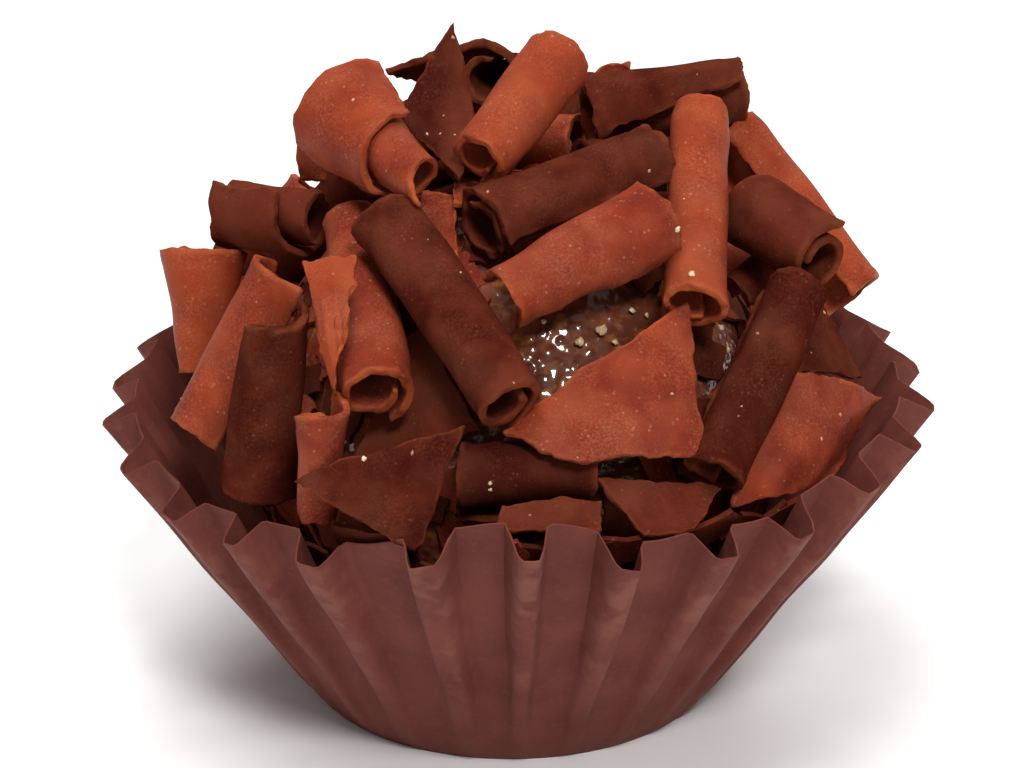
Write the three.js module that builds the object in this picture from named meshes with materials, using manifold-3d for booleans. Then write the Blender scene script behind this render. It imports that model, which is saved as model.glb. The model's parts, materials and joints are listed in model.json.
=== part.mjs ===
// A brigadeiro: a ball of chocolate fudge in a fluted paper case, covered all over
// with rolled shavings and flakes of chocolate. Millimetres, +Z up. The origin is the
// middle of the case's base, on the surface it stands on; -Y is the front.
import * as THREE from 'three';
import { mergeVertices } from 'three/addons/utils/BufferGeometryUtils.js';
import Module from 'manifold-3d';

// The paper case
const BASE_RADIUS = 12.35; // flat round base
const WALL_SLANT = 21; // length of the wall from the base's edge to the rim
const RIDGE_LEAN = THREE.MathUtils.degToRad(34.4); // from upright, on the narrow outward ridges
const LOBE_LEAN = THREE.MathUtils.degToRad(28.5); // from upright, on the wide lobes between them
const PLEATS = 26;
const PLEAT_STEPS = 4; // sides to each pleat
const PLEAT_WANDER = THREE.MathUtils.degToRad(1.1); // the pleats are not quite evenly spaced
const RIDGE_SHARPNESS = 1.6; // 1 is an even wave; higher gives narrow ridges and wide lobes
const CROWDED = { at: -8, over: 16, by: 4.4 }; // degrees: pleats near here are pushed over
const RIM_WAVE = 0.75; // the wall is this much shorter at the front left and longer opposite
const RIM_SWELLS = [ // where the rim stands higher or lower: degrees, degrees, mm
  { at: 0, over: 22, by: 1.3 },
  { at: -48, over: 22, by: -1.6 },
  { at: 38, over: 14, by: -1.6 },
  { at: -115, over: 20, by: 1.2 },
  { at: 118, over: 18, by: 0.8 },
  { at: 18, over: 8, by: -1.6 },
  { at: -19, over: 8, by: -1.4 },
];
const WALL_ROWS = 5;
const PAPER = 0.32;
const HEEL = 1.2; // height of the rounding between base and wall

// The fudge ball
const BALL_RADIUS = 15.0;
const BALL_CENTRE = new THREE.Vector3(0.3, 0, 15.4);
const BALL_FLAT_Z = PAPER + 0.35; // where the soft ball has settled flat, just clear of the base
const BALL_DETAIL = 5;

// The shavings
const SHEET = 0.42; // thickness of a shaving
const EDGE_SHARE = 0.6; // its free edges are this share of that
const WIND_STEP = THREE.MathUtils.degToRad(28); // turn covered by one side of a roll
const WIND_PITCH = 0.74; // growth of the roll's radius in one whole turn
const TAIL_STEPS = 2; // sides to the loose end of a roll
const ALONG_STEPS = 2;

// The flakes stuck in the ball wherever the shavings of the far side leave room
const STUCK_FLAKES = 22;
const STUCK_TRIES = 120; // places tried for each, the largest sizes first
const STUCK_AROUND = [75, 285]; // degrees from the front
const STUCK_UP = [0, 80]; // degrees above the ball's middle
const STUCK_SPREAD = [12, 8]; // degrees that a flake may stray from its place, around and up
const STUCK_LIFT = [-0.3, 0.8]; // mm, least and most height of its middle above the ball
const STUCK_SIZE = [3.5, 8.5]; // mm, smallest and largest length
const STUCK_WIDTH = [0.45, 1]; // least and most width at either end, as shares of the length
const STUCK_TILT = 22; // degrees
const STUCK_BULGE = 0.8; // mm, rise of its middle
const STUCK_SHARE = [0.01, 0.35]; // least and most of a flake that is sunk in the fudge
const GOLDEN = 0.618; // share of the arc from one flake to the next, which spreads them evenly

const chocolate = {
  milk: new THREE.MeshStandardMaterial({ color: 0x8a4630, roughness: 0.55, metalness: 0 }),
  dark: new THREE.MeshStandardMaterial({ color: 0x54291c, roughness: 0.45, metalness: 0 }),
};
const paperMaterial = new THREE.MeshStandardMaterial({ color: 0x6b3a33, roughness: 0.85, metalness: 0 });
const fudgeMaterial = new THREE.MeshStandardMaterial({ color: 0x4a2416, roughness: 0.25, metalness: 0 });

const part = new THREE.Group();
const solids = await Module();
solids.setup();

function weld(geometry) {
  geometry.deleteAttribute('normal');
  geometry.deleteAttribute('uv');
  return mergeVertices(geometry, 1e-4);
}

function addPiece(name, geometry, material) {
  const mesh = new THREE.Mesh(weld(geometry), material);
  mesh.name = name;
  part.add(mesh);
}

function toSolid(geometry) {
  const { attributes, index } = weld(geometry);
  return new solids.Manifold(new solids.Mesh({
    numProp: 3,
    vertProperties: attributes.position.array,
    triVerts: new Uint32Array(index.array),
  }));
}

function toGeometry(solid) {
  const { vertProperties, triVerts } = solid.getMesh();
  const geometry = new THREE.BufferGeometry();
  geometry.setAttribute('position', new THREE.BufferAttribute(vertProperties, 3));
  geometry.setIndex(new THREE.BufferAttribute(triVerts, 1));
  return geometry;
}

// Moves every vertex of a geometry: place(point) changes the point.
function reshape(geometry, place) {
  const position = geometry.getAttribute('position');
  const point = new THREE.Vector3();
  for (let i = 0; i < position.count; i++) {
    place(point.fromBufferAttribute(position, i));
    position.setXYZ(i, point.x, point.y, point.z);
  }
  return geometry;
}

function flipFaces(geometry) {
  const index = geometry.index.array;
  for (let i = 0; i < index.length; i += 3) [index[i + 1], index[i + 2]] = [index[i + 2], index[i + 1]];
  return geometry;
}

// ---- Paper case -------------------------------------------------------------------

// How far a point of the wall is on an outward ridge: 1 on the ridge, 0 in the lobe.
function ridgeShare(angle) {
  return Math.pow((1 + Math.cos(PLEATS * angle)) / 2, RIDGE_SHARPNESS);
}

// by, fading away on both sides of the place that is at degrees round the case.
function swell(angle, { at, over, by }) {
  return by * Math.exp(-(((THREE.MathUtils.radToDeg(angle) - at) / over) ** 2));
}

// A point of the wall, s mm up its slant and offset inwards through the paper.
function wallPoint(angle, s, inwards) {
  const crowding = THREE.MathUtils.degToRad(swell(angle, CROWDED));
  const spaced = angle + PLEAT_WANDER * Math.sin(5 * angle + 2.4) - crowding;
  const lean = THREE.MathUtils.lerp(LOBE_LEAN, RIDGE_LEAN, ridgeShare(spaced));
  const swells = RIM_SWELLS.reduce((sum, place) => sum + swell(angle, place), 0);
  const rise = RIM_WAVE * Math.sin(angle - 0.35) + swells;
  const reach = s * (1 + rise / WALL_SLANT);
  const radius = BASE_RADIUS + reach * Math.sin(lean) - inwards * Math.cos(lean);
  const height = reach * Math.cos(lean) + inwards * Math.sin(lean);
  return { radius, height };
}

function makeCase() {
  // Rows from the middle of the base's underside, out and up the outside of the wall, over
  // the rim, and back down the inside to the middle of the base.
  const outer = [];
  const inner = [];
  for (let row = 1; row <= WALL_ROWS; row++) {
    const s = THREE.MathUtils.lerp(HEEL, WALL_SLANT, (row - 1) / (WALL_ROWS - 1));
    outer.push({ s, inwards: 0 });
    inner.unshift({ s, inwards: PAPER });
  }
  const rows = [
    { radius: 0, height: 0 },
    { radius: BASE_RADIUS - HEEL / 8, height: 0 },
    ...outer,
    ...inner,
    { radius: BASE_RADIUS - HEEL / 8 - PAPER / 2, height: PAPER },
    { radius: 0, height: PAPER },
  ];
  const profile = rows.map((row, i) => new THREE.Vector2(row.radius === 0 ? 0 : 1, i));
  const lathe = new THREE.LatheGeometry(profile, PLEATS * PLEAT_STEPS);
  return reshape(lathe, (point) => {
    const row = rows[Math.round(point.y)];
    const angle = Math.atan2(point.x, point.z);
    const onAxis = Math.hypot(point.x, point.z) < 0.5;
    const place = row.s === undefined ? row : wallPoint(angle, row.s, row.inwards);
    const radius = onAxis ? 0 : place.radius;
    point.set(radius * Math.sin(angle), -radius * Math.cos(angle), place.height);
  });
}

addPiece('paper_case', makeCase(), paperMaterial);

// ---- How a shaving and a flake are shaped and laid ---------------------------------

// A shaving is a thin slab rolled up round its axis, which runs from one point to another.
// radius: outside of the roll at either end. turns: how far it winds, negative the other way.
// seam: where the outer free edge lies, in degrees round the axis from the side that faces
// away from the ball. twist: how much further round it lies at the finish. ends: how far the
// sheet reaches past the two points, in mm, as [start inside, start outside, end inside, end
// outside] of the roll. tail: length of the loose end that leaves the roll straight.
function rollShaving(shaving) {
  const { radius, turns, seam = 150, twist = 0, ends = [0, 0, 0, 0], tail = 0 } = shaving;
  const start = new THREE.Vector3(...shaving.from);
  const finish = new THREE.Vector3(...shaving.to);
  const axis = finish.clone().sub(start);
  const length = axis.length();
  axis.normalize();
  const out = start.clone().add(finish).multiplyScalar(0.5).sub(BALL_CENTRE);
  out.addScaledVector(axis, -out.dot(axis)).normalize();
  const side = axis.clone().cross(out);

  const wind = Math.abs(turns) * 2 * Math.PI;
  const direction = Math.sign(turns);
  const windSteps = Math.max(2, Math.ceil(wind / WIND_STEP));
  const steps = windSteps + (tail > 0 ? TAIL_STEPS : 0);
  const widest = Math.max(radius[0], radius[1]);
  const slab = new THREE.BoxGeometry(1, 1, 1, ALONG_STEPS, steps, 1);
  reshape(slab, (point) => {
    const along = point.x + 0.5;
    const outward = point.y + 0.5; // 0 at the inner edge of the sheet, 1 at its outer free edge
    const wound = Math.min(1, (outward * steps) / windSteps);
    const loose = Math.max(0, outward * steps - windSteps) / TAIL_STEPS;
    const first = THREE.MathUtils.lerp(-ends[0], -ends[1], outward);
    const last = length + THREE.MathUtils.lerp(ends[2], ends[3], outward);
    const place = THREE.MathUtils.lerp(first, last, along);
    const outside = THREE.MathUtils.lerp(radius[0], radius[1], place / length);
    const taper = Math.min(1, outside / (0.75 * widest));
    const atEdge = outward === 0 || outward === 1;
    const thick = SHEET * (atEdge ? EDGE_SHARE : 1) * taper;
    const r = outside - WIND_PITCH * taper * Math.abs(turns) * (1 - wound) - (point.z < 0 ? thick : 0);
    const edge = THREE.MathUtils.degToRad(seam + twist * along);
    const angle = edge + direction * wind * (1 - wound);
    const slide = -direction * tail * loose;
    point
      .copy(start)
      .addScaledVector(axis, place)
      .addScaledVector(out, r * Math.cos(angle) - slide * Math.sin(angle))
      .addScaledVector(side, r * Math.sin(angle) + slide * Math.cos(angle));
  });
  return direction < 0 ? flipFaces(slab) : slab;
}

// A flake is a thin four-cornered sheet, bulging outwards from the ball in its middle. Its
// corners run clockwise as seen from outside and lie on its outer face.
function bendFlake({ corners, bulge = 0, steps = [3, 3] }) {
  const [a, b, c, d] = corners.map((corner) => new THREE.Vector3(...corner));
  const normal = d.clone().sub(b).cross(c.clone().sub(a)).normalize();
  const slab = new THREE.BoxGeometry(1, 1, 1, steps[0], steps[1], 1);
  const upper = new THREE.Vector3();
  const lower = new THREE.Vector3();
  return reshape(slab, (point) => {
    const u = point.x + 0.5;
    const v = point.y + 0.5;
    const rise = 8 * bulge * u * (1 - u) * v * (1 - v) + 2 * bulge * u * (1 - u);
    const atEdge = u === 0 || u === 1 || v === 0 || v === 1;
    const depth = point.z < 0 ? SHEET * (atEdge ? EDGE_SHARE : 1) : 0;
    upper.lerpVectors(a, b, u);
    lower.lerpVectors(d, c, u);
    point.lerpVectors(lower, upper, v).addScaledVector(normal, rise - depth);
  });
}

// The two ends of a roll laid on the ball. around: degrees from the front towards +X. up:
// degrees above the ball's middle. lift: height of the roll's axis above the ball. heading:
// the way it points, 0 along +around and 90 straight up the ball. tilt: rise of its far end.
function onBall({ around, up, lift, heading, tilt = 0, length }) {
  const [a, e, h, t] = [around, up, heading, tilt].map(THREE.MathUtils.degToRad);
  const away = new THREE.Vector3(Math.sin(a) * Math.cos(e), -Math.cos(a) * Math.cos(e), Math.sin(e));
  const across = new THREE.Vector3(Math.cos(a), Math.sin(a), 0);
  const upward = away.clone().cross(across).negate();
  const middle = BALL_CENTRE.clone().addScaledVector(away, BALL_RADIUS + lift);
  const half = new THREE.Vector3()
    .addScaledVector(across, Math.cos(t) * Math.cos(h))
    .addScaledVector(upward, Math.cos(t) * Math.sin(h))
    .addScaledVector(away, Math.sin(t))
    .multiplyScalar(length / 2);
  return { from: middle.clone().sub(half).toArray(), to: middle.clone().add(half).toArray() };
}

// ---- Shavings and flakes lying over the ball ---------------------------------------

const SHAVINGS = {
  // the crown
  cone_top_left: {
    from: [-9.2, -2.2, 34.8], to: [-4.5, -9.5, 32.9], radius: [3.5, 1.7],
    turns: 1.5, seam: -60, ends: [0, 0, 0.5, -4.5],
  },
  spike: {
    corners: [[-6.1, -1.4, 34.9], [-3.1, 2.5, 39], [-1.8, -2.6, 34.3], [-3, -6.5, 32.5]],
    bulge: 0.5, dark: true,
  },
  arc_top_back: {
    from: [0.2, 11.4, 34.4], to: [-1.4, 4.5, 35.7], radius: [0.9, 2.1],
    turns: -1.1, seam: 13, tail: 5.6, dark: true,
  },
  under_crown: {
    from: [-2.3, -2, 32.7], to: [-0.4, 5.6, 32.2], radius: [1.8, 0.9], turns: 1.2,
    seam: 170, dark: true,
  },
  top_light: {
    from: [2.5, -0.4, 37.9], to: [-1.8, -6.7, 33.8], radius: [2.3, 2], turns: 1.2,
    seam: 170,
  },
  bit_back: {
    corners: [[4.4, 6.6, 34.7], [5.2, 6.9, 35.8], [7.1, 7, 36.1], [7.4, 6.7, 34.8]],
    steps: [1, 1],
  },
  top_right_dark: {
    from: [4.9, 4.1, 33.5], to: [13.2, 5.1, 34.4], radius: [2.4, 2.3],
    turns: -1.2, seam: 95, twist: -60, tail: 1.2, ends: [0, 0.5, 0, 0], dark: true,
  },
  mid_dark: {
    from: [-1.1, -8.8, 30.7], to: [7.7, -2.7, 32.8], radius: [2.2, 1.9], turns: -1.3,
    seam: 50, twist: 10, tail: 1, dark: true,
  },
  mid_light: {
    from: [-0.3, -13.4, 27.8], to: [7.7, -8.5, 30.6], radius: [2, 2.4], turns: 0.6,
    seam: -108,
  },
  small_mid: {
    corners: [[-5, -4.6, 31.1], [-3.1, -5, 31.3], [-2.7, -9.7, 29.3], [-4.2, -9.2, 29.3]],
    steps: [2, 2],
  },
  under_top: {
    corners: [[-3.1, -4.5, 31.9], [-0.6, -5, 31.9], [-0.8, -6.3, 31.3], [-3, -6.3, 31.2]],
    steps: [2, 2],
  },
  fill_right: {
    from: [5, 2.4, 30.7], to: [9.6, 4, 30.5], radius: [1.4, 1.4], turns: 0.8, seam: 170,
    dark: true,
  },

  // behind the crown, seen between its rolls
  back_crown_1: {
    from: [4.2, 10.2, 29.1], to: [2.9, 12, 34.4], radius: [1.5, 1.5], turns: 1.2, seam: 170,
    dark: true,
  },
  back_crown_2: {
    from: [10.2, 2.6, 31.3], to: [3.9, -1.5, 32.4], radius: [1.5, 1.5], turns: 1.2, seam: 170,
    dark: true,
  },
  back_crown_3: {
    from: [13, 7.3, 32.3], to: [11.8, 14.7, 30.5], radius: [1.6, 1.6], turns: 1.2, seam: 170,
  },

  // the right shoulder and side
  vertical: {
    from: [10.5, 0.6, 34.4], to: [9.8, -11.1, 27.2], radius: [2, 2.1], turns: 1.2,
    seam: 170,
  },
  right_flap: {
    from: [12.8, 5.3, 31.8], to: [19.9, 1.1, 23.7], radius: [2.4, 2.3], turns: 0.8,
    seam: 170,
  },
  right_under: {
    from: [12.8, -4.5, 25.2], to: [15.1, -3.2, 26.8], radius: [1.5, 1.5], turns: 0.8,
    seam: 170, dark: true,
  },
  right_dark: {
    from: [13.2, -3.4, 29.7], to: [16.9, -7.9, 28.6], radius: [2.2, 2.1],
    turns: 1.3, seam: 10, tail: 0.7, dark: true,
  },
  right_long: {
    from: [15.2, -8.5, 26.9], to: [10.9, -16, 19.4], radius: [1.9, 1.9], turns: 1.2,
    seam: 170, dark: true,
  },
  right_edge_dark: {
    corners: [[16.3, -4.4, 24.2], [18.1, -1.2, 23.5], [20, -2.6, 20], [15.7, -8.5, 22.1]],
    dark: true,
  },
  shell_right: {
    corners: [[15.3, -10, 22.7], [21, -5, 19.3], [17.5, -11, 16.7], [11.9, -16.2, 17.3]],
    bulge: 1,
  },

  // the left shoulder and side
  left_long: {
    from: [-6.7, -9, 30.9], to: [-0.1, -17.9, 23.9], radius: [2.2, 2.1], turns: 1.3,
    seam: 170, dark: true,
  },
  left_vertical: {
    from: [-9, -4.5, 29.5], to: [-7, -15.7, 23.6], radius: [1.8, 2.2], turns: 1.2,
    seam: 170,
  },
  left_thin: {
    corners: [[-10.9, -12.3, 29.7], [-8, -12.2, 29.9], [-8.6, -15.1, 26.9], [-9.2, -16.6, 23.9]],
    bulge: 0.6,
  },
  left_dark_top: {
    from: [-15.9, 0.6, 28.6], to: [-10.5, -3.3, 29.2], radius: [2.4, 2.2],
    turns: 1.3, seam: 30, tail: 1, ends: [0, 0, 0, -2], dark: true,
  },
  far_left: {
    from: [-17.8, -0.4, 26.4], to: [-18, -2.6, 20], radius: [2.6, 1.3], turns: 1.1,
    seam: 170,
  },
  left_sheet: {
    from: [-12.3, -6.3, 26.8], to: [-17.1, -8.2, 18.5], radius: [2.4, 2.2], turns: 0.5,
    seam: -90,
  },
  left_dark: {
    from: [-12.5, -13.4, 27], to: [-13.8, -13.2, 17.1], radius: [1.9, 2.2], turns: 1.2,
    seam: 170, ends: [-2, 0.4, 0, 0], dark: true,
  },
  lower_left: {
    from: [-9.9, -17.3, 23.5], to: [-10.4, -17.4, 17.2], radius: [1.7, 1.4], turns: 1.1,
    seam: 170, ends: [-1.2, 0.3, 0, 0],
  },
  tiny_left: {
    corners: [[-12.3, 1.8, 32.2], [-10.9, 1.9, 32.4], [-10.9, 1.2, 30.4], [-12.2, 1.2, 30.4]],
    steps: [1, 1],
  },
  left_crumb: {
    corners: [[-14.6, -1.1, 26.3], [-13.6, -1.1, 26.4], [-13.7, -1.6, 25], [-14.5, -1.6, 25]],
    steps: [1, 1],
  },

  // the front, down in the case
  flake_front_big: {
    corners: [[0.1, -17.2, 22.1], [9.6, -10.9, 27.1], [10, -16.2, 20.5], [3.1, -19, 21.1]],
    bulge: 1,
  },
  flake_front_left: {
    corners: [[-11, -19, 19.9], [-2.3, -19.2, 23.1], [-5, -20.9, 17], [-8.3, -20.6, 18.8]], dark: true,
  },
  flake_behind: {
    corners: [[-5.9, -11.2, 24.9], [-4.6, -11.4, 25.6], [-2, -15.3, 21.4], [-8.4, -14.4, 18.2]],
    dark: true,
  },
  front_right_low: {
    corners: [[4.7, -18.4, 19.9], [11.1, -16, 18.4], [9.3, -19.3, 17.4], [6.9, -20.2, 17.4]],
    dark: true,
  },
  slab_front: {
    corners: [[-0.5, -19.7, 18.9], [4.7, -19.2, 19.1], [4.6, -20.9, 18.1], [-0.5, -21.3, 18.3]],
    dark: true,
  },
  dark_front: {
    from: [-2.6, -16.9, 19.3], to: [4.3, -16.7, 19.3], radius: [2.1, 2.1], turns: 1.1,
    seam: 90, dark: true,
  },
};

for (const [name, shaving] of Object.entries(SHAVINGS)) {
  const geometry = shaving.corners ? bendFlake(shaving) : rollShaving(shaving);
  addPiece(name, geometry, shaving.dark ? chocolate.dark : chocolate.milk);
}

// The rolls of the far side, first those lying against the ball and then those over them.
// Each row is a roll's place on the ball, as onBall takes it, and then the roll itself:
// around, up, lift, heading, tilt, length, radius at the start, radius at the end, turns, chocolate
const FAR_ROLLS = {
  back_low_1: [108, 8, 2.2, 100, 0, 10, 1.9, 1.7, 1.2, 'milk'],
  back_low_2: [141, 10, 2.3, 75, 0, 10, 1.8, 2, 1.3, 'dark'],
  back_low_3: [176, 8, 2.3, 105, 0, 10, 2.1, 1.7, 1.1, 'milk'],
  back_low_4: [212, 9, 2.2, 80, 0, 10, 1.8, 1.8, -1.2, 'milk'],
  back_low_5: [248, 8, 2.3, 95, 0, 9.5, 1.7, 2.1, 1.2, 'dark'],
  back_mid_1: [131, 37, 2.3, 20, 0, 8.5, 1.9, 1.9, 1.2, 'dark'],
  back_mid_2: [166, 44, 2.3, 145, 0, 8.5, 2, 1.7, -1.2, 'milk'],
  back_mid_3: [207, 40, 2.3, 35, 0, 9, 1.8, 2, 1.2, 'milk'],
  back_mid_4: [246, 42, 2.2, 90, 0, 8, 1.8, 1.8, 1.1, 'dark'],
  back_high_1: [176, 64, 2.3, 20, 0, 7, 1.8, 1.8, 1.1, 'milk'],
  back_high_2: [235, 64, 2.3, 110, 0, 8, 1.8, 1.6, 1.2, 'milk'],
  back_over_1: [124, 24, 6.2, -60, 8, 10, 2, 1.8, 1.2, 'milk'],
  back_over_2: [160, 24, 6.2, 30, -5, 10, 2.2, 1.8, 1.1, 'dark'],
  back_over_3: [196, 22, 6.2, -40, 0, 9.5, 1.9, 1.9, -1.2, 'milk'],
  back_over_4: [232, 20, 6.2, 65, 6, 9.5, 1.8, 2.2, 1.2, 'milk'],
  back_over_5: [150, 49, 5.8, 67, 12, 9.5, 2.1, 2.3, 1.2, 'milk'],
  back_over_6: [213, 48, 5, 29, -7, 10.3, 2, 2.2, 1.2, 'dark'],
  back_over_7: [140, 13, 6, 3, -8, 10.5, 2.1, 2.1, 1.3, 'milk'],
  back_over_8: [214, 12, 6.6, 2, 4, 8.8, 2, 2, 1.2, 'milk'],
  back_over_9: [243, 20, 5.6, 72, -3, 9.2, 2, 2.1, 1.2, 'dark'],
};

for (const [name, row] of Object.entries(FAR_ROLLS)) {
  const [around, up, lift, heading, tilt, length, first, last, turns, kind] = row;
  const ends = onBall({ around, up, lift, heading, tilt, length });
  addPiece(name, rollShaving({ ...ends, radius: [first, last], turns }), chocolate[kind]);
}

// ---- Fudge ball, with the flakes that are stuck in it ------------------------------

function makeBall() {
  const ball = new THREE.IcosahedronGeometry(BALL_RADIUS, BALL_DETAIL);
  return reshape(ball, (point) => {
    point.add(BALL_CENTRE);
    point.z = Math.max(point.z, BALL_FLAT_Z);
  });
}

let seed = 11;

// An even draw between two numbers, the same on every run.
function random(low, high) {
  seed = (seed * 16807) % 2147483647;
  return low + ((high - low) * seed) / 2147483647;
}

// The flakes follow a spiral from low to high, and each place is tried with smaller sizes in turn.
function drawFlake(index, share) {
  const turn = (index * GOLDEN) % 1;
  const largest = THREE.MathUtils.lerp(STUCK_SIZE[1], STUCK_SIZE[0], share);
  const ends = onBall({
    around: THREE.MathUtils.lerp(...STUCK_AROUND, turn) + random(-1, 1) * STUCK_SPREAD[0],
    up: THREE.MathUtils.lerp(...STUCK_UP, index / STUCK_FLAKES) + random(-1, 1) * STUCK_SPREAD[1],
    lift: random(...STUCK_LIFT),
    heading: random(0, 180),
    tilt: random(-STUCK_TILT, STUCK_TILT),
    length: largest,
  });
  const from = new THREE.Vector3(...ends.from);
  const to = new THREE.Vector3(...ends.to);
  const away = from.clone().add(to).multiplyScalar(0.5).sub(BALL_CENTRE);
  const side = away.cross(to.clone().sub(from)).normalize();
  const halves = [0, 1].map(() => (largest * random(...STUCK_WIDTH)) / 2);
  const corners = [[from, halves[0]], [to, halves[1]], [to, -halves[1]], [from, -halves[0]]]
    .map(([end, offset]) => end.clone().addScaledVector(side, offset).toArray());
  return bendFlake({ corners, bulge: STUCK_BULGE, steps: [2, 2] });
}

function stickFlakes(ball, others) {
  const taken = others.map((mesh) => toSolid(mesh.geometry.clone()));
  const stuck = [];
  for (let index = 0; index < STUCK_FLAKES; index++) {
    for (let attempt = 0; attempt < STUCK_TRIES; attempt++) {
      const flake = toSolid(drawFlake(index, attempt / STUCK_TRIES));
      const sunk = flake.intersect(ball).volume() / flake.volume();
      const held = sunk > STUCK_SHARE[0] && sunk < STUCK_SHARE[1];
      if (!held || taken.some((other) => other.intersect(flake).volume() > 0)) continue;
      taken.push(flake);
      stuck.push(flake);
      break;
    }
  }
  return stuck.reduce((whole, flake) => whole.add(flake), ball);
}

const fudgeBall = stickFlakes(toSolid(makeBall()), part.children);
addPiece('fudge_ball', toGeometry(fudgeBall), fudgeMaterial);

export default part;
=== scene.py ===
import json
import math
import random

import bmesh
import bpy
from mathutils import Matrix, Vector, noise
from mathutils.bvhtree import BVHTree


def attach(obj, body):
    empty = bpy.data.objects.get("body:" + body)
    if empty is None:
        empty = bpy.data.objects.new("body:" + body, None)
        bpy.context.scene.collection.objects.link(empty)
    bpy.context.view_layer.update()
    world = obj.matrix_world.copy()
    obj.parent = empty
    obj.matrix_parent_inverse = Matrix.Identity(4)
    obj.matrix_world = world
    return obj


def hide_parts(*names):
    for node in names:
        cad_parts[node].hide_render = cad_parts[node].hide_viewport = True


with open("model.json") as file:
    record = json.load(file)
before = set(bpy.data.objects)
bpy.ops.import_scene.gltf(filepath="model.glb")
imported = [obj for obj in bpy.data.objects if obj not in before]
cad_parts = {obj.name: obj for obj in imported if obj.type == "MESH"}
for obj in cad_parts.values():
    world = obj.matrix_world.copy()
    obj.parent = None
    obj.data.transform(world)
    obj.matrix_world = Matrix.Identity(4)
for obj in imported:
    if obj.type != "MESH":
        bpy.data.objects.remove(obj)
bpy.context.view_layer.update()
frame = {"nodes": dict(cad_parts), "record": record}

bpy.ops.object.select_all(action="DESELECT")


# ---- Paper case -------------------------------------------------------------------------
# A round of greaseproof baking paper pressed between two dies into a cup: a flat base, a
# rounded heel, and a wall of narrow flutes standing out between wide flat lobes.

BASE_RADIUS = 0.01235
WALL_SLANT = 0.021
FLUTE_LEAN = math.radians(34.4)
LOBE_LEAN = math.radians(28.5)
PLEATS = 26
PLEAT_STEPS = 20
WALL_ROWS = 30
PLEAT_WANDER = math.radians(1.1)
PLEAT_WANDERS = 5
PLEAT_WANDER_FROM = 2.4
FLANK_START = 0.0
FLANK_END = 0.85
FLANK_WANDER = 0.22
FLANK_FINENESS = 5
RIM_WAVE = 0.00075
RIM_WAVE_FROM = 0.35
RIM_CUT = 0.00025
RIM_CUT_FINENESS = 9
RIM_CUT_PLANE = 0.5
RIM_CUT_MIDDLE = 0.4
# Each swell: degrees round from the front, degrees that it fades over, and how much it adds.
CROWDED = (-8, 16, math.radians(4.4))
RIM_SWELLS = (
    (0, 22, 0.0013), (-48, 22, -0.0016), (38, 14, -0.0016), (-115, 20, 0.0012),
    (118, 18, 0.0008), (18, 8, -0.0016), (-19, 8, -0.0014),
)
HEEL = 0.0012
BASE_RINGS = (0.985, 0.93, 0.6, 0.2)
PAPER = 0.00009
CRUMPLE = 0.00016
CRUMPLE_SIZE = 0.005
CRUMPLED_FROM = 0.006
# The flutes carry a painted highlight, faint at the base and full from this height up.
FLUTE_HIGHLIGHT_FROM = 0.012
PAPER_DEEP = (0.125, 0.030, 0.023, 1)
PAPER_LIGHT = (0.170, 0.046, 0.033, 1)
PAPER_FLECK = (0.21, 0.068, 0.046, 1)
# Colour of the painted highlight along the flutes.
PAPER_FLUTE_HIGHLIGHT = (0.23, 0.084, 0.058, 1)

noise.seed_set(5)  # otherwise every run has a noise of its own


def swell(angle, at, over, by):
    """by, fading away on both sides of the place that is at degrees round the case."""
    return by * math.exp(-(((math.degrees(angle) - at) / over) ** 2))


def flute_share(angle):
    """1 on a flute, 0 on a lobe, with a steep flank between; no two flutes are alike."""
    wandered = PLEAT_WANDER * math.sin(PLEAT_WANDERS * angle + PLEAT_WANDER_FROM)
    spaced = angle + wandered - swell(angle, *CROWDED)
    around = Vector((math.sin(angle), math.cos(angle), 0))
    wander = FLANK_WANDER * noise.noise(around * FLANK_FINENESS)
    share = (math.cos(PLEATS * spaced) - FLANK_START - wander) / (FLANK_END - FLANK_START)
    share = min(1.0, max(0.0, share))
    return share * share * (3 - 2 * share)


def case_point(angle, up):
    """Where the outside of the wall is, this far up its slant, seen round from the front."""
    lean = LOBE_LEAN + (FLUTE_LEAN - LOBE_LEAN) * flute_share(angle)
    around = Vector((math.sin(angle), math.cos(angle), RIM_CUT_PLANE))
    cut = RIM_CUT * (noise.noise(around * RIM_CUT_FINENESS) - RIM_CUT_MIDDLE)
    swells = sum(swell(angle, *place) for place in RIM_SWELLS)
    rise = RIM_WAVE * math.sin(angle - RIM_WAVE_FROM) + swells + cut
    reach = up * (1 + rise / WALL_SLANT)
    heel = HEEL / 4 * max(0.0, 1 - reach / (2 * HEEL)) ** 2
    radius = BASE_RADIUS + reach * math.sin(lean) - heel
    return Vector((radius * math.sin(angle), -radius * math.cos(angle), reach * math.cos(lean)))


def store(piece, name, values):
    """Keeps one number a point on the mesh, for its material to read."""
    attribute = piece.data.attributes.new(name, "FLOAT", "POINT")
    attribute.data.foreach_set("value", values)


bpy.ops.mesh.primitive_cylinder_add(
    vertices=PLEATS * PLEAT_STEPS, radius=BASE_RADIUS, depth=WALL_SLANT,
    end_fill_type="NOTHING", location=(0, 0, WALL_SLANT / 2),
)
case = bpy.context.object
case.name = "pleated_case"
bpy.ops.object.transform_apply(location=True, rotation=True, scale=True)
bpy.ops.object.mode_set(mode="EDIT")
bpy.ops.mesh.select_mode(type="EDGE")
bpy.ops.mesh.select_all(action="DESELECT")
mesh = bmesh.from_edit_mesh(case.data)
for edge in mesh.edges:
    edge.select_set(abs(edge.verts[0].co.z - edge.verts[1].co.z) > WALL_SLANT / 2)
bmesh.update_edit_mesh(case.data)
bpy.ops.mesh.subdivide(number_cuts=WALL_ROWS - 1)
mesh = bmesh.from_edit_mesh(case.data)
for vertex in mesh.verts:
    angle = math.atan2(vertex.co.x, -vertex.co.y)
    vertex.co = case_point(angle, vertex.co.z)
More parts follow.
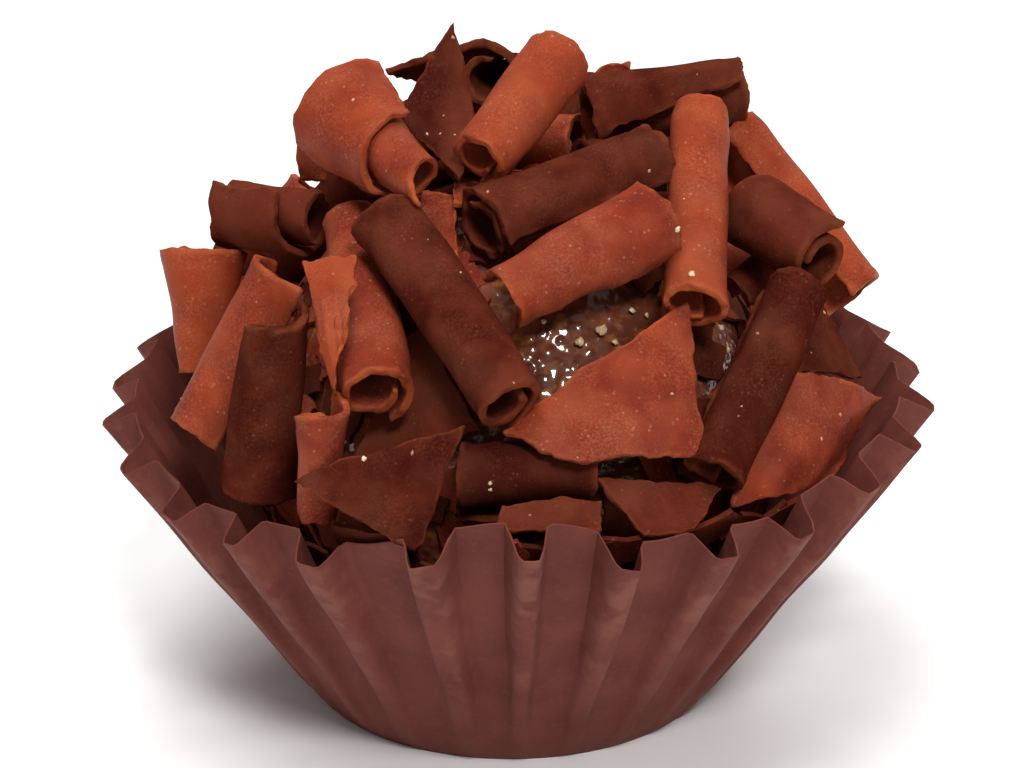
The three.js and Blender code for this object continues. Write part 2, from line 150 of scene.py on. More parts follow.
for edge in mesh.edges:
    edge.select_set(max(vertex.co.z for vertex in edge.verts) < 1e-6)
bmesh.update_edit_mesh(case.data)
for share in BASE_RINGS:
    bpy.ops.mesh.extrude_edges_move()
    bpy.ops.transform.resize(value=(share, share, 1), center_override=(0, 0, 0))
bpy.ops.mesh.merge(type="CENTER")
bpy.ops.mesh.select_all(action="SELECT")
bpy.ops.mesh.normals_make_consistent(inside=False)
bpy.ops.object.mode_set(mode="OBJECT")
for vertex in case.data.vertices:
    loose = min(1.0, vertex.co.z / CRUMPLED_FROM)
    vertex.co += noise.noise_vector(vertex.co / CRUMPLE_SIZE) * CRUMPLE * loose
thick = case.modifiers.new("paper", "SOLIDIFY")
thick.thickness = PAPER
thick.offset = -1
bpy.ops.object.modifier_apply(modifier="paper")
bpy.ops.object.shade_smooth_by_angle(angle=math.radians(60))
# How much of the painted highlight each point takes: full on the flutes, fading towards the
# base.
flute_highlight_share = []
for vertex in case.data.vertices:
    share = flute_share(math.atan2(vertex.co.x, -vertex.co.y))
    flute_highlight_share.append(share * min(1.0, vertex.co.z / FLUTE_HIGHLIGHT_FROM))
store(case, "flute", flute_highlight_share)


def start_material(name, roughness, shine, glow=(1, 1, 1)):
    """shine is how strongly it reflects, and glow the colour of what it reflects."""
    material = bpy.data.materials.new(name)
    material.use_nodes = True
    surface = material.node_tree.nodes["Principled BSDF"]
    surface.inputs["Roughness"].default_value = roughness
    surface.inputs["Specular IOR Level"].default_value = shine
    surface.inputs["Specular Tint"].default_value = (*glow, 1)
    return material, material.node_tree, surface


def plug(tree, socket, value):
    """Joins a socket to another's output, or sets it to a plain value."""
    if isinstance(value, bpy.types.NodeSocket):
        tree.links.new(value, socket)
    else:
        socket.default_value = value


def place_on_piece(tree):
    """Where each point is on the piece itself, in metres."""
    return tree.nodes.new("ShaderNodeTexCoord").outputs["Object"]


def clouds(tree, size, detail=4.0):
    """Soft noise of about this size in metres, over the piece's own coordinates."""
    place = place_on_piece(tree)
    cloud = tree.nodes.new("ShaderNodeTexNoise")
    cloud.inputs["Scale"].default_value = 1 / size
    cloud.inputs["Detail"].default_value = detail
    tree.links.new(place, cloud.inputs["Vector"])
    return cloud.outputs["Fac"]


def stored(tree, name):
    """What store kept on the mesh under this name."""
    attribute = tree.nodes.new("ShaderNodeAttribute")
    attribute.attribute_name = name
    return attribute.outputs["Fac"]


def spread(tree, value, low, high, least=0.0, most=1.0):
    """Takes low to high onto least to most, and no further."""
    spreading = tree.nodes.new("ShaderNodeMapRange")
    spreading.inputs["From Min"].default_value = low
    spreading.inputs["From Max"].default_value = high
    spreading.inputs["To Min"].default_value = least
    spreading.inputs["To Max"].default_value = most
    plug(tree, spreading.inputs["Value"], value)
    return spreading.outputs["Result"]


def reckon(tree, operation, first, second):
    """The sum or the product of the two, as the operation says."""
    reckoning = tree.nodes.new("ShaderNodeMath")
    reckoning.operation = operation
    plug(tree, reckoning.inputs[0], first)
    plug(tree, reckoning.inputs[1], second)
    return reckoning.outputs["Value"]


def tint(tree, factor, first, second):
    """A colour between the first and the second, each a colour or another's output."""
    mixing = tree.nodes.new("ShaderNodeMix")
    mixing.data_type = "RGBA"
    plug(tree, mixing.inputs["Factor"], factor)
    plug(tree, mixing.inputs[6], first)
    plug(tree, mixing.inputs[7], second)
    return mixing.outputs[2]


def dent(tree, height, depth, strength, under=None):
    """A bump this deep in metres, laid over another bump if there is one."""
    bump = tree.nodes.new("ShaderNodeBump")
    bump.inputs["Distance"].default_value = depth
    bump.inputs["Strength"].default_value = strength
    plug(tree, bump.inputs["Height"], height)
    if under:
        tree.links.new(under, bump.inputs["Normal"])
    return bump.outputs["Normal"]


paper, tree, surface = start_material("baking_paper", roughness=0.7, shine=0.14)
mottled = tint(
    tree, spread(tree, clouds(tree, 0.003, 6), 0.32, 0.68), PAPER_DEEP, PAPER_LIGHT
)
flecks = spread(tree, clouds(tree, 0.00035, 3), 0.55, 0.75, most=0.35)
flecked = tint(tree, flecks, mottled, PAPER_FLECK)
# Painted highlight: the flutes are lighter than the lobes, fading towards the base.
flute_highlight = reckon(
    tree, "MULTIPLY", stored(tree, "flute"), spread(tree, clouds(tree, 0.0016), 0.4, 0.6)
)
flute_lit = tint(tree, spread(tree, flute_highlight, 0.3, 1.0, most=0.55), flecked, PAPER_FLUTE_HIGHLIGHT)
plug(tree, surface.inputs["Base Color"], flute_lit)
fibres = dent(tree, clouds(tree, 0.0003, 5), 0.00004, 0.3)
plug(tree, surface.inputs["Normal"], dent(tree, clouds(tree, 0.0015, 2), 0.00015, 0.25, fibres))
case.data.materials.append(paper)
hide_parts("paper_case")
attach(case, "root")


# ---- Fudge ball -------------------------------------------------------------------------
# Condensed milk boiled down with cocoa, rolled between buttered hands: soft, glossy and a
# little lumpy, and flat where it has settled on the case's base.

BALL_CENTRE = Vector((0.0003, 0, 0.0154))
BALL_RADIUS = 0.015
BALL_FLAT = 0.00067
LUMPS = ((0.0045, 0.00024), (0.0016, 0.00010), (0.0007, 0.00004))
LUMP_SINK = 0.3
BEAD_SIZE = 0.0006
BEAD_RISE = 0.00014
FUDGE_DEEP = (0.086, 0.0200, 0.0115, 1)
FUDGE_LIGHT = (0.205, 0.055, 0.0265, 1)
SYRUP = (0.36, 0.12, 0.030, 1)

bpy.ops.object.select_all(action="DESELECT")
bpy.ops.mesh.primitive_ico_sphere_add(subdivisions=7, radius=BALL_RADIUS, location=BALL_CENTRE)
ball = bpy.context.object
ball.name = "fudge"
bpy.ops.object.transform_apply(location=True, rotation=True, scale=True)
for vertex in ball.data.vertices:
    away = (vertex.co - BALL_CENTRE).normalized()
    rise = sum(height * (noise.noise(vertex.co / size) - LUMP_SINK) for size, height in LUMPS)
    vertex.co += away * rise
bpy.ops.object.mode_set(mode="EDIT")
bpy.ops.mesh.select_all(action="SELECT")
bpy.ops.mesh.bisect(
    plane_co=(0, 0, BALL_FLAT), plane_no=(0, 0, 1), use_fill=True, clear_inner=True
)
bpy.ops.object.mode_set(mode="OBJECT")
bpy.ops.object.shade_smooth_by_angle(angle=math.radians(50))


def cells(tree, size, feature="F1"):
    """How far off the middle of its own cell each point is, in cells of about this size."""
    cell = tree.nodes.new("ShaderNodeTexVoronoi")
    cell.feature = feature
    cell.inputs["Scale"].default_value = 1 / size
    tree.links.new(place_on_piece(tree), cell.inputs["Vector"])
    return cell.outputs["Distance"]


fudge, tree, surface = start_material("fudge", roughness=0.34, shine=0.2, glow=(1, 0.62, 0.4))
boiled = tint(
    tree, spread(tree, clouds(tree, 0.0022, 5), 0.35, 0.68), FUDGE_DEEP, FUDGE_LIGHT
)
syrupy = tint(
    tree, spread(tree, clouds(tree, 0.0009, 3), 0.55, 0.72, most=0.8), boiled, SYRUP
)
plug(tree, surface.inputs["Base Color"], syrupy)
surface.inputs["Coat Weight"].default_value = 0.9
surface.inputs["Coat Roughness"].default_value = 0.04
beads = spread(tree, cells(tree, BEAD_SIZE, "SMOOTH_F1"), 0, 0.8, 1, 0)
beaded = dent(tree, beads, BEAD_RISE, 1.0)
wet = dent(tree, clouds(tree, 0.0016, 1), 0.0002, 0.8, beaded)
plug(tree, surface.inputs["Normal"], wet)
plug(tree, surface.inputs["Coat Normal"], wet)
ball.data.materials.append(fudge)
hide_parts("fudge_ball")
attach(ball, "root")


# ---- Rolled shavings and flakes ---------------------------------------------------------
# Sheets half a millimetre thick, scraped with a blade off a block of milk or dark chocolate,
# which curl up as they come off. They are faintly dusty and lined round the roll, and at the
# free edges they are thinner, wavy and a little ragged, and carry a painted glow of light.

FLAKE_VERTICES = 32
FLAKE_CUTS = 2
THICKEST = 0.0006
SHAVING_CUT = 0.0011
LENGTHWISE = 0.45
RIM_ANGLE = math.radians(55)
RIM_CREASE = 0.75
LENGTHEN = 1.03
GIRTH = 1.07
GIRTHS = {
    "mid_dark": 1.12, "right_long": 1.22, "left_dark": 1.12, "dark_front": 1.15,
    "left_long": 1.1, "cone_top_left": 1.0,
}
WARP = 0.0005
WARP_SIZE = 0.005
WAVE = 0.00052
WAVE_SIZE = 0.0024
CHIP = 0.00028
CHIP_SIZE = 0.0007
RAGGED = {
    "mid_dark": 1.2, "mid_light": 1.3, "top_right_dark": 1.7, "left_thin": 1.5,
    "right_dark": 0.4,
}
# Where each piece lies between deep and light, 0.4 unless listed: partly the chocolate's own
# tone, partly painted light and shade, lighter for pieces that catch the light and darker for
# those in shade.
TONE = 0.4
TONES_AND_SHADE = {
    "cone_top_left": 0.55, "top_light": 0.95, "vertical": 0.8, "right_flap": 0.9,
    "far_left": 0.95, "left_sheet": 0.45, "mid_light": 0.25, "flake_front_big": 0.2,
    "left_vertical": 0.3, "shell_right": 0.35, "left_long": 0.45, "right_long": 0.0,
    "flake_behind": 0.95, "left_dark_top": 0.95, "flake_front_left": 0.25, "mid_dark": 0.5,
    "right_dark": 0.55, "left_dark": 0.3, "lower_left": 0.3, "dark_front": -0.2,
    "slab_front": 0.8, "front_right_low": 0.55, "left_thin": 0.95,
}
PALER_PER_METRE = {"spike": 500}
SPECK_SPACING = 0.00034
SCRAPES_PER_METRE = 2200

slots = {row["node"]: row["material_slot"] for row in frame["record"]["subparts"]}


def make_chocolate(name, deep, light, bloom, rim, speck, rough, shine, dust, speckled):
    """A sheet from deep to light by its tone, which carries painted light and shade, with a
    dust of bloom, pale specks and a painted glow along its thin rim.
    """
    material, tree, surface = start_material(name, rough, shine, glow=(1, 0.5, 0.3))
    # Each piece's tone brings in its painted light and shade here.
    patches = reckon(
        tree, "ADD", stored(tree, "tone"),
        spread(tree, clouds(tree, 0.0022, 6), 0.3, 0.7, -0.5, 0.5),
    )
    sheet = tint(tree, patches, (*deep, 1), (*light, 1))
    haze = spread(tree, clouds(tree, 0.0037, 3), 0.45, 0.7, most=0.25)
    body = tint(tree, haze, sheet, (*bloom, 1))
    where = spread(tree, clouds(tree, 0.0024, 3), 0.38, 0.65, 0.15, 1)
    grains = clouds(tree, 0.00013, 5)
    powder = reckon(tree, "MULTIPLY", where, spread(tree, grains, 0.42, 0.72, most=dust))
    dusty = tint(tree, powder, body, (*bloom, 1))
    dots = cells(tree, SPECK_SPACING)
    chosen = spread(tree, clouds(tree, 0.0007, 2), 0.5, 0.72, most=speckled)
    specks = reckon(tree, "MULTIPLY", chosen, spread(tree, dots, 0.05, 0.3, 1, 0))
    flecked = tint(tree, specks, dusty, (*speck, 1))
    # Painted glow of light along the thin free edges, laid on in patches.
    rim_glow_patches = spread(tree, clouds(tree, 0.0016, 2), 0.4, 0.6, 0.02, 0.6)
    edge = reckon(tree, "MULTIPLY", rim_glow_patches, spread(tree, stored(tree, "thin"), 0.7, 1.0))
    rim_glowing = tint(tree, edge, flecked, (*rim, 1))
    plug(tree, surface.inputs["Base Color"], rim_glowing)
    plug(
        tree, surface.inputs["Roughness"],
        spread(tree, clouds(tree, 0.0018, 3), 0.3, 0.7, rough - 0.07, rough + 0.1),
    )
    lines = tree.nodes.new("ShaderNodeTexNoise")
    lines.noise_dimensions = "1D"
    lines.inputs["Scale"].default_value = SCRAPES_PER_METRE
    lines.inputs["Detail"].default_value = 4
    plug(tree, lines.inputs["W"], stored(tree, "along"))
    scraped = dent(tree, lines.outputs["Fac"], 0.00005, 0.25)
    plug(tree, surface.inputs["Normal"], dent(tree, grains, 0.00005, 0.5, scraped))
    return material


# In both chocolates, rim is the colour of the painted glow along the thin free edges.
milk = make_chocolate(
    "milk_chocolate", deep=(0.165, 0.0200, 0.0112), light=(0.30, 0.045, 0.0155),
    bloom=(0.41, 0.122, 0.062), rim=(0.46, 0.105, 0.033), speck=(0.55, 0.27, 0.17),
    rough=0.5, shine=0.15, dust=0.55, speckled=0.65,
)
dark = make_chocolate(
    "dark_chocolate", deep=(0.052, 0.0074, 0.0044), light=(0.125, 0.0235, 0.0118),
    bloom=(0.18, 0.060, 0.034), rim=(0.21, 0.048, 0.018), speck=(0.27, 0.11, 0.062),
    rough=0.52, shine=0.0, dust=0.28, speckled=0.45,
)


def cloud_texture(name, size):
    """Soft noise of about this size in metres, for moving points by."""
    texture = bpy.data.textures.new(name, "CLOUDS")
    texture.noise_scale = size
    texture.noise_depth = 1
    texture.cloud_type = "COLOR"
    return texture


warping = cloud_texture("warping", WARP_SIZE)
waving = cloud_texture("waving", WAVE_SIZE)
chipping = cloud_texture("chipping", CHIP_SIZE)


def shift_by(piece, texture, strength, group=""):
    """Moves every point by the texture's three channels, as far as the group lets it."""
    shift = piece.modifiers.new("shift", "DISPLACE")
    shift.texture = texture
    shift.texture_coords = "LOCAL"
    shift.direction = "RGB_TO_XYZ"
    shift.mid_level = 0.5
    shift.strength = strength
    shift.vertex_group = group
    bpy.ops.object.modifier_apply(modifier="shift")


def cut_long_edges(piece, longer_than, cuts):
    """Subdivides every edge of the piece that is longer than this, in edit mode."""
    mesh = bmesh.from_edit_mesh(piece.data)
    bpy.ops.mesh.select_all(action="DESELECT")
    for edge in mesh.edges:
        edge.select_set(edge.calc_length() > longer_than)
    bmesh.update_edit_mesh(piece.data)
    bpy.ops.mesh.subdivide(number_cuts=cuts)


def dress_shaving(name, node):
    """A smooth, uneven shaving with torn rims over the plain one of the frame."""
    piece = bpy.data.objects.new(name + "_curl", node.data.copy())
    bpy.context.scene.collection.objects.link(piece)
    bpy.ops.object.select_all(action="DESELECT")
    bpy.context.view_layer.objects.active = piece
    piece.select_set(True)
    piece.vertex_groups.new(name="rim")
    bpy.ops.object.mode_set(mode="EDIT")
    bpy.ops.mesh.select_mode(type="VERT")
    bpy.ops.mesh.select_all(action="SELECT")
    bpy.ops.mesh.remove_doubles(threshold=1e-6)
    bpy.ops.mesh.tris_convert_to_quads()
    bpy.ops.mesh.select_mode(type="EDGE")
    mesh = bmesh.from_edit_mesh(piece.data)
    if len(mesh.verts) <= FLAKE_VERTICES:
        cut_long_edges(piece, THICKEST, FLAKE_CUTS)
    else:
        longest = max(edge.calc_length() for edge in mesh.edges)
        cut_long_edges(piece, longest * LENGTHWISE, round(longest / SHAVING_CUT) - 1)
    bpy.ops.mesh.select_all(action="DESELECT")
    bpy.ops.mesh.edges_select_sharp(sharpness=RIM_ANGLE)
    bpy.ops.transform.edge_crease(value=RIM_CREASE)
    bpy.ops.object.vertex_group_assign()
    bpy.ops.object.mode_set(mode="OBJECT")
    round_off = piece.modifiers.new("round_off", "SUBSURF")
    round_off.levels = 2
    round_off.render_levels = 2
    bpy.ops.object.modifier_apply(modifier="round_off")
    middle = sum((vertex.co for vertex in piece.data.vertices), Vector())
    middle /= len(piece.data.vertices)
    arms = [vertex.co - middle for vertex in piece.data.vertices]
    axis = max(arms, key=lambda arm: arm.length).normalized()
    girth, ragged = GIRTHS.get(name, GIRTH), RAGGED.get(name, 1.0)
    for vertex, arm in zip(piece.data.vertices, arms):
        lengthwise = axis * arm.dot(axis)
        vertex.co = middle + lengthwise * LENGTHEN + (arm - lengthwise) * girth
    shift_by(piece, warping, WARP)
    shift_by(piece, waving, WAVE * ragged, "rim")
    shift_by(piece, chipping, CHIP * ragged, "rim")

    thin = [
        max((group.weight for group in vertex.groups), default=0.0)
        for vertex in piece.data.vertices
    ]
    store(piece, "thin", thin)
    arms = [vertex.co - middle for vertex in piece.data.vertices]
    # Each piece's tone, with the painted light and shade it carries, made paler towards +X on
    # the spike.
    tone, paler = TONES_AND_SHADE.get(name, TONE), PALER_PER_METRE.get(name, 0)
    store(piece, "tone", [tone + paler * arm.x for arm in arms])
    store(piece, "along", [arm.dot(axis) for arm in arms])
    bpy.ops.object.shade_smooth()
    piece.data.materials.clear()
    piece.data.materials.append(dark if slots[name] == "dark_chocolate" else milk)
    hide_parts(name)
    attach(piece, "root")
    return piece


shavings = [
    dress_shaving(name, node) for name, node in sorted(frame["nodes"].items())
    if name not in ("paper_case", "fudge_ball")
]


# ---- Flakes stuck in the fudge ----------------------------------------------------------
# Small broken flakes that the ball picked up first, pressed flat against it all over. They
# leave the fudge bare only at the front, between the largest rolls. A few have dropped and
# lie against the inside of the case's wall.

FLAKE_KINDS = 6
FLAKE_LENGTH = (0.0024, 0.0046)
FLAKE_WIDTH = (0.5, 0.85)
FLAKE_THICK = 0.00026
FLAKE_CURL = (0.5, 1.6)
CURL_ACROSS = 0.6
FLAKE_JAG = (0.12, 0.14)
JAG_FINENESS = 2.3
KINDS_APART = 7.7
FLAKE_TAPER = 0.25
AT_RIM = 0.49
# How strongly a flake's thin rim takes the painted glow of light, kept as its thin value.
FLAKE_RIM_GLOW = 0.68
FLAKES = 420
FLAKES_FROM = -0.35
FLAKES_TO = 0.98
FLAKE_SPREAD = 0.08
FLAKE_TILT = math.radians(5.5)
FLAKE_LIFT = (0.0, 0.00035)
FLAKE_TONE = (-0.1, 0.45)
BARE_PLACES = ((Vector((0.25, -0.76, 0.60)), 25), (Vector((0.84, -0.39, 0.39)), 12))
DARK_SHARE = 0.5
GOLDEN_TURN = math.pi * (3 - math.sqrt(5))
WALL_FLAKES = 26
WALL_FLAKES_FROM = math.radians(-46)
WALL_FLAKES_TO = math.radians(50)
WALL_FLAKES_UP = (0.0175, 0.0205)
WALL_FLAKE_STRAY = (0.2, 0.8)
WALL_FLAKE_GAP = 0.0007
WALL_FLAKE_GROWN = 1.15
WALL_FLAKE_TILT = math.radians(2.2)
WALL_FLAKE_TURN = 0.6
WALL_FLAKE_TONE = (0, 0.5)
WALL_MILK_SHARE = 0.2

chance = random.Random(7)


def shape_flake(kind):
    """A broken scrap of sheet lying in X and Y, curled down at its ends as Z."""
    length = chance.uniform(*FLAKE_LENGTH)
    width = length * chance.uniform(*FLAKE_WIDTH)
    curl = chance.uniform(*FLAKE_CURL) / (2 * BALL_RADIUS)
    bpy.ops.object.select_all(action="DESELECT")
    bpy.ops.mesh.primitive_grid_add(x_subdivisions=6, y_subdivisions=5, size=1)
    flake = bpy.context.object
    flake.name = f"flake_kind_{kind}"
    thin = []
    for vertex in flake.data.vertices:
        x, y = vertex.co.x, vertex.co.y
        thin.append(FLAKE_RIM_GLOW if max(abs(x), abs(y)) > AT_RIM else 0.0)
        level = kind * KINDS_APART
        jag = noise.noise_vector(Vector((x * JAG_FINENESS, y * JAG_FINENESS, level)))
        x += FLAKE_JAG[0] * jag.x
        y += FLAKE_JAG[1] * jag.y - FLAKE_TAPER * (x + 0.5) * y
        x, y = x * length, y * width
        vertex.co = (x, y, -curl * (x * x + CURL_ACROSS * y * y))
    store(flake, "thin", thin)
    thick = flake.modifiers.new("thick", "SOLIDIFY")
    thick.thickness = FLAKE_THICK
    thick.offset = 0
    bpy.ops.object.modifier_apply(modifier="thick")
    store(flake, "along", [vertex.co.x for vertex in flake.data.vertices])
    bpy.ops.object.shade_smooth_by_angle(angle=RIM_ANGLE)
    mesh = flake.data
    bpy.data.objects.remove(flake)
    return mesh


def pokes_through(points, shell):
    """Whether any of the points stands out through a shaving that lies over the ball."""
    for point in points:
        away = point - BALL_CENTRE
        above = away.length - BALL_RADIUS
        if above > 0 and shell.ray_cast(point, -away.normalized(), above)[0]:
            return True
    return False


def make_shell(pieces):
    """One surface from all the pieces, to aim rays at and test overlaps with."""
    corners, faces = [], []
    for piece in pieces:
        start = len(corners)
        corners += [vertex.co.copy() for vertex in piece.data.vertices]
        faces += [[start + corner for corner in face.vertices] for face in piece.data.polygons]
    return BVHTree.FromPolygons(corners, faces)


def join_copies(name, placed, material):
    """One piece that goes with the ball, from copies of meshes, each laid by its matrix."""
    joined = bmesh.new()
    for mesh, place in placed:
        scrap = mesh.copy()
        scrap.transform(place)
        joined.from_mesh(scrap)
        bpy.data.meshes.remove(scrap)
    piece = bpy.data.objects.new(name, bpy.data.meshes.new(name))
    joined.to_mesh(piece.data)
    joined.free()
    bpy.context.scene.collection.objects.link(piece)
    piece.data.materials.append(material)
    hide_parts("fudge_ball")
    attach(piece, "root")
    return piece


flake_kinds = [shape_flake(kind) for kind in range(FLAKE_KINDS)]
shell = make_shell(shavings)
wall = make_shell([case])
laid = {"milk_chocolate": [], "dark_chocolate": []}
tones = {"milk_chocolate": [], "dark_chocolate": []}
for step in range(FLAKES):
    height = FLAKES_FROM + (FLAKES_TO - FLAKES_FROM) * (step + 0.5) / FLAKES
    turn = step * GOLDEN_TURN + chance.uniform(-FLAKE_SPREAD, FLAKE_SPREAD)
    level = math.sqrt(1 - height * height)
    away = Vector((level * math.sin(turn), -level * math.cos(turn), height))
    if any(away.angle(middle) < math.radians(within) for middle, within in BARE_PLACES):
        continue
    mesh = flake_kinds[chance.randrange(FLAKE_KINDS)]
    lift = BALL_RADIUS + chance.uniform(*FLAKE_LIFT)
    place = Matrix.Translation(BALL_CENTRE + away * lift) @ (
        away.to_track_quat("Z", "Y").to_matrix().to_4x4()
        @ Matrix.Rotation(chance.uniform(0, 2 * math.pi), 4, "Z")
        @ Matrix.Rotation(chance.gauss(0, FLAKE_TILT), 4, "X")
        @ Matrix.Rotation(chance.gauss(0, FLAKE_TILT), 4, "Y")
    )
    chocolate = "dark_chocolate" if chance.random() < DARK_SHARE else "milk_chocolate"
    tone = chance.uniform(*FLAKE_TONE)
    if not pokes_through([place @ vertex.co for vertex in mesh.vertices], shell):
        laid[chocolate].append((mesh, place))
        tones[chocolate] += [tone] * len(mesh.vertices)
for step in range(WALL_FLAKES):
    share = (step + chance.uniform(*WALL_FLAKE_STRAY)) / WALL_FLAKES
    angle = WALL_FLAKES_FROM + share * (WALL_FLAKES_TO - WALL_FLAKES_FROM)
    up = chance.uniform(*WALL_FLAKES_UP)
    radius = BASE_RADIUS + up * math.sin(LOBE_LEAN) - WALL_FLAKE_GAP
    mesh = flake_kinds[chance.randrange(FLAKE_KINDS)]
    place = (
        Matrix.Rotation(angle, 4, "Z")
        @ Matrix.Translation((0, -radius, up * math.cos(LOBE_LEAN)))
        @ Matrix.Rotation(math.pi / 2 + LOBE_LEAN + chance.gauss(0, WALL_FLAKE_TILT), 4, "X")
        @ Matrix.Rotation(chance.uniform(-WALL_FLAKE_TURN, WALL_FLAKE_TURN), 4, "Z")
        @ Matrix.Scale(WALL_FLAKE_GROWN, 4)
    )
    faces = [list(face.vertices) for face in mesh.polygons]
    outline = BVHTree.FromPolygons([place @ vertex.co for vertex in mesh.vertices], faces)
    chocolate = "milk_chocolate" if chance.random() < WALL_MILK_SHARE else "dark_chocolate"
    tone = chance.uniform(*WALL_FLAKE_TONE)
    if not outline.overlap(shell) and not outline.overlap(wall):
        laid[chocolate].append((mesh, place))
        tones[chocolate] += [tone] * len(mesh.vertices)
milk_flakes = join_copies("milk_flakes", laid["milk_chocolate"], milk)
store(milk_flakes, "tone", tones["milk_chocolate"])
dark_flakes = join_copies("dark_flakes", laid["dark_chocolate"], dark)
store(dark_flakes, "tone", tones["dark_chocolate"])


# ---- Crumbs -----------------------------------------------------------------------------
# Broken grains of chocolate caught on the shavings and in the fudge, and a few lumps of
# milk sugar that boiled out of it and shine in the bare place at the front. The pale lumps on
# the rolls are painted glints: cream beads set where the rolls shine.

CRUMBS = 80
CRUMB_SIZE = (0.00006, 0.00014)
CRUMB_KINDS = 4
CRUMB_ROUND = 0.85
CRUMB_JAG = 0.6
CRUMB_FINENESS = 1.3
CRUMBS_APART = 5.1
CRUMB_FLAT = 0.7
CRUMB_WIDTH = (0.7, 1)
CRUMB_HEIGHT = 0.8
CRUMB_ASIDE = 0.003
CRUMBS_FROM = 0.05
STEEPEST_SEAT = 0.25
WELL_OUTSIDE = 0.05
DRY_DEEP = (0.26, 0.09, 0.045, 1)
DRY_LIGHT = (0.62, 0.40, 0.26, 1)
SUGAR_AND_GLINT_DEEP = (0.62, 0.38, 0.16, 1)
SUGAR_AND_GLINT_LIGHT = (0.85, 0.7, 0.48, 1)
# Each lump: degrees round from the front, degrees up from level, and its radius.
SUGAR_LUMPS = (
    (17, 39, 0.00030), (24, 41, 0.00038), (27, 38, 0.00022), (36, 44, 0.00022),
    (40, 42, 0.00016), (53, 29, 0.00026), (58, 30, 0.00018), (66, 33, 0.00030),
    (8, 44, 0.00016), (60, 25, 0.00016), (63, 19, 0.00020), (67, 24, 0.00014),
    (64, 28, 0.00022), (70, 18, 0.00015),
)
# Painted glints: pale lumps set on the rolls where they shine, each given as above.
GLINT_LUMPS = (
    (40, 49, 0.00020), (39, 42, 0.00022), (-22, 16, 0.00018), (-4, 13, 0.00014),
    (-4, 12, 0.00012),
)


def shape_crumb(kind):
    """A jagged grain about one unit in radius."""
    bpy.ops.object.select_all(action="DESELECT")
    bpy.ops.mesh.primitive_ico_sphere_add(subdivisions=2, radius=1)
    crumb = bpy.context.object
    for vertex in crumb.data.vertices:
        jag = noise.noise(vertex.co * CRUMB_FINENESS + Vector((kind * CRUMBS_APART, 0, 0)))
        vertex.co *= CRUMB_ROUND + CRUMB_JAG * jag
        vertex.co.z *= CRUMB_FLAT
    bpy.ops.object.shade_smooth()
    mesh = crumb.data
    bpy.data.objects.remove(crumb)
    return mesh


def sit(point, upward, size):
    """The matrix that sets a grain of this radius on the point, turned at random."""
    turned = Matrix.Rotation(chance.uniform(0, 2 * math.pi), 4, "Z")
    width = size * chance.uniform(*CRUMB_WIDTH)
    grown = Matrix.Diagonal((size, width, size * CRUMB_HEIGHT, 1))
    upright = upward.to_track_quat("Z", "Y").to_matrix().to_4x4()
    return Matrix.Translation(point) @ (upright @ turned @ grown)


crumb_kinds = [shape_crumb(kind) for kind in range(CRUMB_KINDS)]
outside = make_shell([*shavings, ball])
scattered = []
while len(scattered) < CRUMBS:
    height = chance.uniform(CRUMBS_FROM, 1)
    turn = chance.uniform(0, 2 * math.pi)
    level = math.sqrt(1 - height * height)
    away = Vector((level * math.sin(turn), -level * math.cos(turn), height))
    aside = Vector([chance.gauss(0, CRUMB_ASIDE) for _ in range(3)])
    size = chance.uniform(*CRUMB_SIZE)
    kind = chance.randrange(CRUMB_KINDS)
    start = BALL_CENTRE + away * WELL_OUTSIDE + aside
    point, upward, _, _ = outside.ray_cast(start, -away)
    if point is None or upward.z < STEEPEST_SEAT:
        continue
    scattered.append((crumb_kinds[kind], sit(point, upward, size)))
dry, tree, surface = start_material("dry_crumbs", roughness=0.6, shine=0.3)
mixed = tint(tree, spread(tree, clouds(tree, 0.0025, 2), 0.4, 0.6), DRY_DEEP, DRY_LIGHT)
plug(tree, surface.inputs["Base Color"], mixed)
plug(tree, surface.inputs["Normal"], dent(tree, clouds(tree, 0.0001, 2), 0.00002, 0.5))
join_copies("crumbs", scattered, dry)

# One cream material for the sugar lumps and for the painted glints on the rolls.
sugar_and_glint, tree, surface = start_material("milk_sugar_and_glints", roughness=0.25, shine=0.5)
creamy = tint(
    tree, spread(tree, clouds(tree, 0.0004, 2), 0.35, 0.65), SUGAR_AND_GLINT_DEEP, SUGAR_AND_GLINT_LIGHT
)
plug(tree, surface.inputs["Base Color"], creamy)
plug(tree, surface.inputs["Normal"], dent(tree, clouds(tree, 0.00015, 2), 0.00003, 0.6))
lumps = []
for lump in SUGAR_LUMPS + GLINT_LUMPS:
    turn, climb, size = math.radians(lump[0]), math.radians(lump[1]), lump[2]
    level = math.cos(climb)
    away = Vector((math.sin(turn) * level, -math.cos(turn) * level, math.sin(climb)))
    point, upward = BALL_CENTRE + away * BALL_RADIUS, away
    if lump in GLINT_LUMPS:
        point, upward, _, _ = outside.ray_cast(BALL_CENTRE + away * WELL_OUTSIDE, -away)
    lumps.append((crumb_kinds[0], sit(point, upward, size)))
join_copies("sugar_and_glint_lumps", lumps, sugar_and_glint)


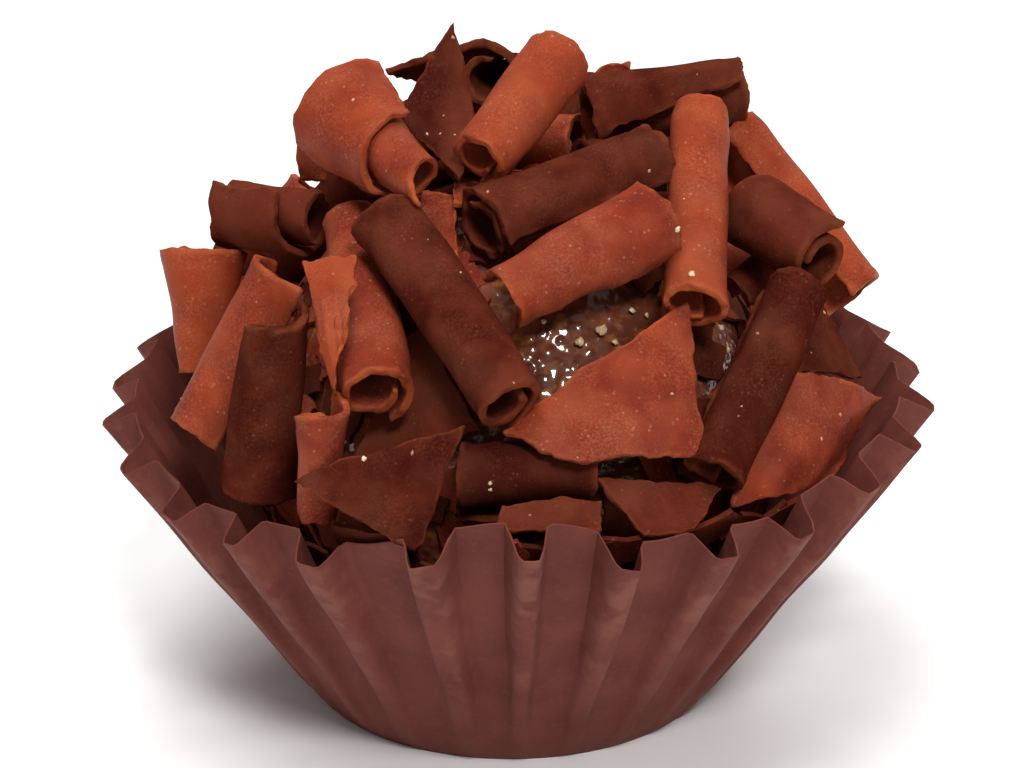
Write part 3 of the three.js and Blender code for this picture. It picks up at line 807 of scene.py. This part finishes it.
# ---- Table, light and camera ------------------------------------------------------------
# A plain pale table top in a bright surround, under a soft box overhead, a broad light in
# front and a fainter one behind that brightens the far shavings and the rim.

TABLE_WIDTH = 3
TABLE_COLOUR = (0.95, 0.945, 0.94, 1)
SURROUND = 0.26
AIM = Vector((0, 0, 0.02))
CAMERA_PLACE = (0.00053, -0.14055, 0.07064)
CAMERA_DOWN = math.radians(20.44)
SENSOR = 36
FOCAL_PIXELS = 2553.7
FRAME_PIXELS = 1024
CENTRE_SHIFT = 8.1

bpy.ops.object.select_all(action="DESELECT")
bpy.ops.mesh.primitive_plane_add(size=TABLE_WIDTH, location=(0, 0, 0))
table = bpy.context.object
table.name = "table_top"
pale, _, surface = start_material("pale_table", roughness=0.7, shine=0.3)
surface.inputs["Base Color"].default_value = TABLE_COLOUR
table.data.materials.append(pale)


def add_light(name, place, size, watts):
    """A square light that looks at the middle of the object."""
    bpy.ops.object.light_add(type="AREA", location=place)
    light = bpy.context.object
    light.name = name
    light.data.size = size
    light.data.energy = watts
    light.rotation_euler = (AIM - Vector(place)).to_track_quat("-Z", "Y").to_euler()
    return light


overhead = add_light("overhead", place=(-0.08, -0.05, 0.55), size=0.28, watts=1.9)
overhead.visible_glossy = False
behind = add_light("behind", place=(0.10, 0.36, 0.30), size=0.22, watts=1.0)
behind.visible_glossy = False
add_light("front", place=(0.087, -0.323, 0.372), size=0.10, watts=1.3)

world = bpy.data.worlds.new("studio")
bpy.context.scene.world = world
world.use_nodes = True
surround = world.node_tree.nodes["Background"]
surround.inputs["Color"].default_value = (1, 1, 1, 1)
surround.inputs["Strength"].default_value = SURROUND

bpy.ops.object.camera_add(
    location=CAMERA_PLACE, rotation=(math.pi / 2 - CAMERA_DOWN, 0, 0)
)
camera = bpy.context.object
camera.data.sensor_width = SENSOR
camera.data.lens = FOCAL_PIXELS * SENSOR / FRAME_PIXELS
camera.data.shift_x = -CENTRE_SHIFT / FRAME_PIXELS
camera.data.clip_start = 0.01
bpy.context.scene.camera = camera
bpy.context.scene.view_settings.view_transform = "Standard"
